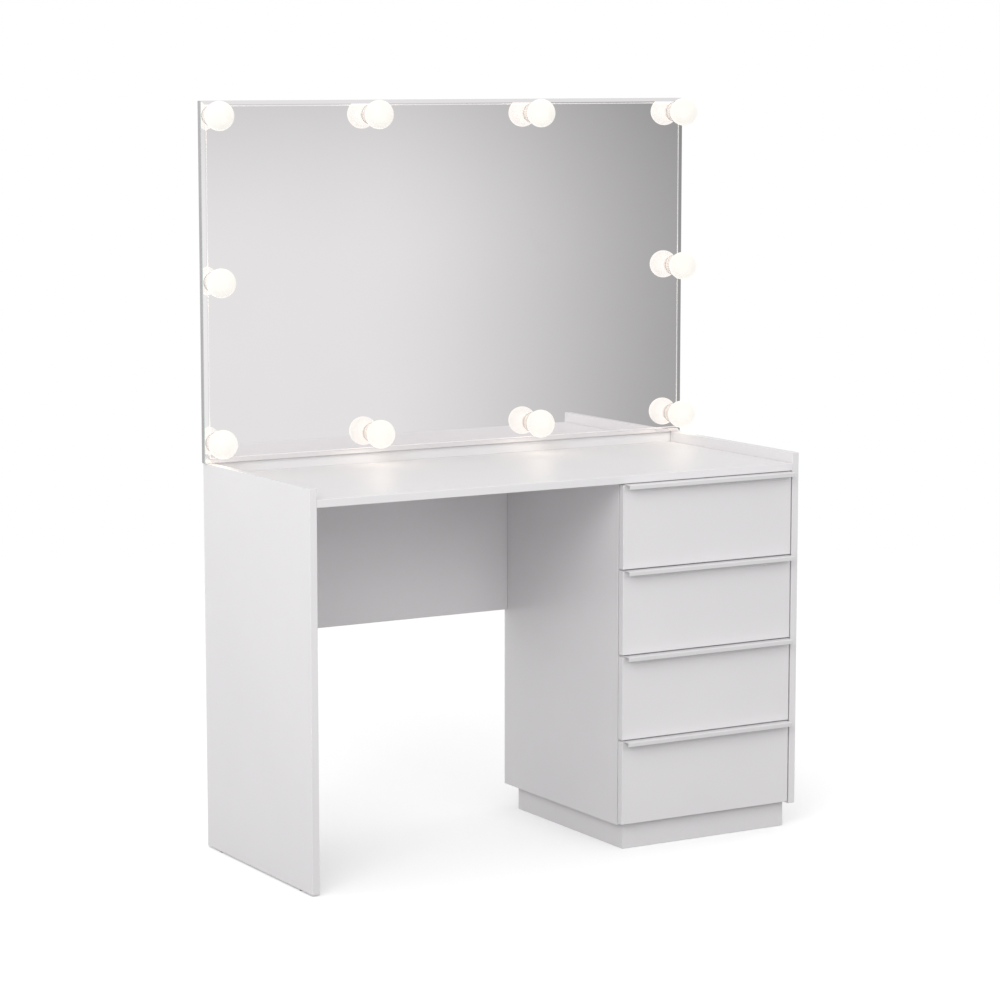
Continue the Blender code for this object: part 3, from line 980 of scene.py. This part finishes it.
def buildHandle(name):
    low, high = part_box(name + "_handle")
    sheet = handle["sheet"]
    half = sheet / 2
    centre = [
        (low.y + half, high.z - handle["lip"] + half * 0.4),
        (low.y + half, high.z - half),
        (high.y - half, high.z - half),
        (high.y - half, low.z + half * 0.4),
    ]
    outline = foldedStrip(centre, sheet, handle["bend"])
    made = extrudedAlongX(name + "_bent_handle", outline, low.x, high.x)
    softenEdges(made, handle["soften"], 2, 50)
    setFinish(made, finishes["handle powder coat"])
    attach(made, name)
    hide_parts(name + "_handle")

    count = handle["screws"]
    first, last = low.x + handle["screwsFromLeft"], high.x - handle["screwsFromRight"]
    spots = [first + (last - first) * step / (count - 1) for step in range(count)]
    places = [(x, high.y, low.z + handle["screwRise"]) for x in spots]
    radius, height, slot = handle["screwRadius"], handle["screwHeight"], handle["screwSlot"]
    item = crossHeadItem("handle screw item", radius, height, slot)
    hardware(
        name + "_handle_screws",
        item,
        places,
        [(0, 1, 0)],
        "screw steel",
        name,
        seed=drawers.index(name),
    )


for name in drawers:
    buildHandle(name)
print("handles:", len(drawers), "bent strips with", handle["screws"], "screws each")


# Drawer runners: the member on each side of a box, and the cabinet channels' screws

runner = {
    "sheet": 0.0011,
    "gap": 0.0001,
    "height": 0.0205,
    "nest": 0.0062,
    "frontStep": 0.0035,
    "backStep": 0.004,
    "screwRadius": 0.0034,
    "screwHeight": 0.0012,
    "screwSlot": 0.0011,
    "screwsAt": (0.09, 0.45, 0.88),
    "soften": 0.0003,
    "channelWeb": 0.00125,
}


def memberOutline(wall, inwards, middle):
    # a shallow C against the box side, open towards the cabinet, as (x, z) points
    half, sheet = runner["height"] / 2, runner["sheet"]
    web = wall + inwards * (runner["gap"] + sheet)
    tip = wall + inwards * runner["nest"]
    back = wall + inwards * runner["gap"]
    foot, head = middle - half, middle + half
    return [
        (back, foot), (tip, foot), (tip, foot + sheet), (web, foot + sheet),
        (web, head - sheet), (tip, head - sheet), (tip, head), (back, head),
    ]


def buildMembers(name, number):
    work = bmesh.new()
    boxLow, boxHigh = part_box(name + "_box")
    for side, wall, inwards in (("left", boxLow.x, -1), ("right", boxHigh.x, 1)):
        low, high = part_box(f"runner_{side}_{number}")
        outline = memberOutline(wall, inwards, (low.z + high.z) / 2)
        near, far = low.y - runner["frontStep"], high.y - runner["backStep"]
        addPrism(work, *([(x, y, z) for x, z in outline] for y in (near, far)))
    made = asObject(name + "_runner_members", work)
    softenEdges(made, runner["soften"], 1, 40)
    setFinish(made, finishes["zinc runner"])
    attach(made, name)


def runnerScrews():
    places, facings = [], []
    for number in range(1, len(drawers) + 1):
        for side, inwards in (("left", 1), ("right", -1)):
            low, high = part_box(f"runner_{side}_{number}")
            web = (low.x if inwards > 0 else high.x) + inwards * runner["channelWeb"]
            for share in runner["screwsAt"]:
                places.append((web, low.y + (high.y - low.y) * share, (low.z + high.z) / 2))
                facings.append((inwards, 0, 0))
    radius, height, slot = runner["screwRadius"], runner["screwHeight"], runner["screwSlot"]
    item = crossHeadItem("runner screw item", radius, height, slot)
    hardware("runner_screws", item, places, facings, "screw steel", "table", seed=11)
    return len(places)


for number, name in enumerate(drawers, 1):
    buildMembers(name, number)
print("runners:", 2 * len(drawers), "drawer members,", runnerScrews(), "screws in the channels")


# Rubber bumpers behind the fronts, which meet the pedestal's side panel

bumper = {
    "radius": 0.0042,
    "height": 0.0026,
    "steps": 20,
    "fromTop": 0.030,
    "fromFoot": 0.022,
    "gap": 0.00005,
}


def buildBumpers(name):
    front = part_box(name + "_front")
    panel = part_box("pedestal_side_panel")
    x = (panel[0].x + panel[1].x) / 2
    radius, height = bumper["radius"], bumper["height"]
    profile = [
        (0, 0), (radius, 0), (radius, height * 0.3),
        (radius * 0.9, height * 0.66), (radius * 0.6, height * 0.93), (0, height),
    ]
    item = latheItem("bumper item", profile, bumper["steps"])
    heights = (front[1].z - bumper["fromTop"], front[0].z + bumper["fromFoot"])
    places = [(x, front[1].y + bumper["gap"], z) for z in heights]
    hardware(name + "_bumpers", item, places, [(0, 1, 0)], "bumper rubber", name, twist=0.0)


for name in drawers:
    buildBumpers(name)
print("bumpers:", 2 * len(drawers), "behind the fronts")


# Cover caps over the connector fittings, and the screws in the mirror straps

cover = {
    "radius": 0.0072,
    "height": 0.0007,
    "slot": 0.0016,
    "steps": 28,
    "edge": 0.034,
    "topDepths": (0.06, 0.22, 0.38),
    "modestyFoot": 0.06,
    "modestyHead": 0.07,
    "backEnds": 0.05,
}


def coverCaps():
    places, facings = [], []

    def add(x, y, z, facing):
        places.append((x, y, z))
        facings.append(facing)

    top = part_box("table_top")
    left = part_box("left_side_panel")[1].x
    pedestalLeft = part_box("pedestal_side_panel")[0].x
    for depth in cover["topDepths"]:
        for x in (left + cover["edge"], pedestalLeft - cover["edge"]):
            add(x, top[0].y + depth, top[0].z, (0, 0, -1))
    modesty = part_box("modesty_panel")
    for z in (modesty[0].z + cover["modestyFoot"], modesty[1].z - cover["modestyHead"]):
        for x in (modesty[0].x + cover["edge"], modesty[1].x - cover["edge"]):
            add(x, modesty[1].y, z, (0, 1, 0))
    back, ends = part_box("pedestal_back"), cover["backEnds"]
    for z in (back[0].z + ends, (back[0].z + back[1].z) / 2, back[1].z - ends):
        for x in (back[0].x + cover["edge"], back[1].x - cover["edge"]):
            add(x, back[1].y, z, (0, 1, 0))
    item = crossHeadItem("cap item", cover["radius"], cover["height"], cover["slot"], cover["steps"])
    hardware("connector_caps", item, places, facings, "cap plastic", "table", seed=5)
    return len(places)


strap = {
    "sheet": 0.003,
    "gap": 0.0003,
    "screwRadius": 0.0048,
    "screwHeight": 0.0024,
    "screwSlot": 0.0015,
    "screwSteps": 24,
    "up": (0.028, 0.088),
    "down": (0.020, 0.062),
}


def strapScrews():
    places = []
    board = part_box("mirror_backing_board")
    foot = board[0].z
    for side in ("left", "right"):
        low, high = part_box(f"mirror_bracket_{side}")
        x = (low.x + high.x) / 2
        upperFace = board[1].y + strap["gap"] + strap["sheet"]
        places += [(x, upperFace, foot + rise) for rise in strap["up"]]
        places += [(x, high.y, foot - drop) for drop in strap["down"]]
    radius, height, slot = strap["screwRadius"], strap["screwHeight"], strap["screwSlot"]
    item = crossHeadItem("strap screw item", radius, height, slot, strap["screwSteps"])
    behind = [(0, 1, 0)]
    hardware("strap_screws", item, places, behind, "screw steel", "table", seed=8)
    return len(places)


capCount, strapScrewCount = coverCaps(), strapScrews()
print("fittings:", capCount, "cover caps,", strapScrewCount, "strap screws")


# Driver box details: cooling ribs along its underside

driver = {
    "ribs": 13,
    "ribWidth": 0.0022,
    "ribDrop": 0.0009,
    "ribTaper": 0.0008,
    "ribEnds": 0.012,
    "ribsFromSide": 0.017,
}


def driverRibs():
    low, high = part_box("lamp_driver_box")
    reach = (high.y - low.y - driver["ribEnds"]) / 2
    drop, taper, half = driver["ribDrop"], driver["ribTaper"], driver["ribWidth"] / 2
    outline = [(-reach, 0), (reach, 0), (reach - taper, drop), (-reach + taper, drop)]
    item = extrudedAlongX("rib item", outline, -half, half)
    first = low.x + driver["ribsFromSide"]
    step = (high.x - low.x - 2 * driver["ribsFromSide"]) / (driver["ribs"] - 1)
    places = [(first + step * index, (low.y + high.y) / 2, low.z) for index in range(driver["ribs"])]
    below = [(0, 0, -1)]
    hardware("driver_ribs", item, places, below, "driver plastic", "table", twist=0.0)


driverRibs()
print("driver:", driver["ribs"], "ribs")


# Floor, light and camera

stage = {
    "floorRadius": 5.0,
    "solidTo": 1.4,
    "clearFrom": 4.2,
    "floor": (0.90, 0.895, 0.90),
    "bounce": 0.37,
    "glow": 0.22,
    "glowShown": (1, 1, 1),
    "glowThrown": (0.1, 0.1, 0.1),
}


def buildFloor():
    work = bmesh.new()
    bmesh.ops.create_circle(work, cap_ends=True, segments=96, radius=stage["floorRadius"])
    floor = asObject("floor", work)
    if floor.data.polygons[0].normal.z < 0:
        floor.data.flip_normals()
    made, tree, sockets, where = startFinish(
        "pale floor",
        **{"Roughness": 0.9, "Specular IOR Level": 0.1, "Emission Strength": stage["glow"]},
    )
    out = next(node for node in tree.nodes if node.type == "OUTPUT_MATERIAL")
    shader = next(node for node in tree.nodes if node.type == "BSDF_PRINCIPLED")
    reach = tree.nodes.new("ShaderNodeVectorMath")
    reach.operation = "LENGTH"
    feed(tree, reach.inputs[0], where)
    fade = ramp(tree, reach.outputs["Value"], stage["solidTo"], stage["clearFrom"])
    # the floor throws back less light than it shows, so the undersides keep their shade
    lighting = tree.nodes.new("ShaderNodeLightPath").outputs["Is Diffuse Ray"]
    dim = [value * stage["bounce"] for value in stage["floor"]]
    feed(tree, sockets["Base Color"], mixColour(tree, lighting, stage["floor"], dim))
    glow = mixColour(tree, lighting, stage["glowShown"], stage["glowThrown"])
    feed(tree, sockets["Emission Color"], glow)
    clear = tree.nodes.new("ShaderNodeBsdfTransparent")
    blend = tree.nodes.new("ShaderNodeMixShader")
    tree.links.new(fade, blend.inputs[0])
    tree.links.new(shader.outputs[0], blend.inputs[1])
    tree.links.new(clear.outputs[0], blend.inputs[2])
    tree.links.new(blend.outputs[0], out.inputs["Surface"])
    setFinish(floor, made)


surround = {
    "left": 1.22,
    "right": 0.64,
    "overhead": 0.88,
    "overheadRise": (0.1, 0.8),
    "belowLeft": 0.68,
    "belowRight": 0.25,
    "belowAcross": (-0.7, 0.3),
    "belowRise": (-0.60, -0.36),
    "cardStart": (28.0, 35.5),
    "cardEnd": (55.0, 80.0),
    "cardHead": (0.02, 0.10),
    "cardDepth": 0.55,
    "bandStart": (-5.0, 15.0),
    "bandFoot": (-0.06, 0.06),
    "bandHead": (0.13, 0.22),
    "bandDepth": 0.52,
}


def buildSurround():
    # a bright studio, lighter on the left, with a soft grey card low on the front right
    world = bpy.data.worlds.new("studio")
    bpy.context.scene.world = world
    world.use_nodes = True
    tree = world.node_tree
    tree.nodes.clear()
    out = tree.nodes.new("ShaderNodeOutputWorld")
    sky = tree.nodes.new("ShaderNodeBackground")
    tree.links.new(sky.outputs[0], out.inputs["Surface"])
    split = tree.nodes.new("ShaderNodeSeparateXYZ")
    tree.links.new(tree.nodes.new("ShaderNodeTexCoord").outputs["Generated"], split.inputs[0])
    x, y, z = split.outputs
    around = maths(tree, "DEGREES", maths(tree, "ARCTAN2", x, maths(tree, "MULTIPLY", y, -1.0)))
    sides = ramp(tree, x, -1.0, 1.0, surround["left"], surround["right"], smooth=False)
    height = ramp(tree, z, *surround["overheadRise"])
    low = maths(tree, "MULTIPLY", sides, maths(tree, "SUBTRACT", 1.0, height))
    tone = maths(tree, "ADD", low, maths(tree, "MULTIPLY", height, surround["overhead"]))
    before = ramp(tree, around, *surround["cardEnd"], 1.0, 0.0)
    card = maths(tree, "MULTIPLY", ramp(tree, around, *surround["cardStart"]), before)
    card = maths(tree, "MULTIPLY", card, ramp(tree, z, *surround["cardHead"], 1.0, 0.0))
    card = maths(tree, "MULTIPLY", card, surround["cardDepth"])
    tone = maths(tree, "MULTIPLY", tone, maths(tree, "SUBTRACT", 1.0, card))
    # the card's upper part shades off over a wider stretch
    near = maths(tree, "MULTIPLY", ramp(tree, around, *surround["bandStart"]), before)
    head = ramp(tree, z, *surround["bandHead"], 1.0, 0.0)
    band = maths(tree, "MULTIPLY", ramp(tree, z, *surround["bandFoot"]), head)
    band = maths(tree, "MULTIPLY", maths(tree, "MULTIPLY", near, band), surround["bandDepth"])
    tone = maths(tree, "MULTIPLY", tone, maths(tree, "SUBTRACT", 1.0, band))
    below = ramp(tree, x, *surround["belowAcross"], surround["belowLeft"], surround["belowRight"])
    tone = maths(tree, "MULTIPLY", tone, ramp(tree, z, *surround["belowRise"], below, 1.0))
    seen = tree.nodes.new("ShaderNodeLightPath").outputs["Is Camera Ray"]
    tone = maths(tree, "ADD", maths(tree, "MULTIPLY", tone, maths(tree, "SUBTRACT", 1.0, seen)), seen)
    colour = tree.nodes.new("ShaderNodeCombineXYZ")
    for socket in colour.inputs:
        tree.links.new(tone, socket)
    tree.links.new(colour.outputs[0], sky.inputs["Color"])


softboxes = {
    "key": {"place": (-3.2, -3.0, 3.4), "aim": (0.0, 0.0, 0.6), "size": 2.6, "power": 68.0},
    "fill": {"place": (0.5, -4.7, 2.5), "aim": (0.1, 0.0, 0.45), "size": 1.4, "power": 26.0},
}


def buildSoftbox(name, given):
    light = bpy.data.lights.new(name, "AREA")
    light.shape = "SQUARE"
    light.size = given["size"]
    light.energy = given["power"]
    obj = bpy.data.objects.new(name, light)
    obj.location = given["place"]
    obj.rotation_mode = "QUATERNION"
    obj.rotation_quaternion = (Vector(given["aim"]) - Vector(given["place"])).to_track_quat("-Z", "Y")
    obj.visible_glossy = False
    bpy.context.scene.collection.objects.link(obj)


eye = {"place": (-3.1841, -5.3535, 1.533), "turn": 30.617, "drop": 7.779, "lens": 114.46}


def buildCamera():
    data = bpy.data.cameras.new("camera")
    data.lens = eye["lens"]
    data.sensor_width = 36.0
    data.clip_end = 100.0
    obj = bpy.data.objects.new("camera", data)
    turn, drop = math.radians(eye["turn"]), math.radians(eye["drop"])
    level = math.cos(drop)
    ahead = Vector((math.sin(turn) * level, math.cos(turn) * level, -math.sin(drop)))
    obj.location = eye["place"]
    obj.rotation_mode = "QUATERNION"
    obj.rotation_quaternion = ahead.to_track_quat("-Z", "Y")
    bpy.context.scene.collection.objects.link(obj)
    bpy.context.scene.camera = obj


buildFloor()
buildSurround()
for name, given in softboxes.items():
    buildSoftbox(name, given)
buildCamera()
bpy.context.scene.view_settings.view_transform = "Standard"
print("stage: floor, surround, softboxes and camera")

bpy.context.view_layer.update()
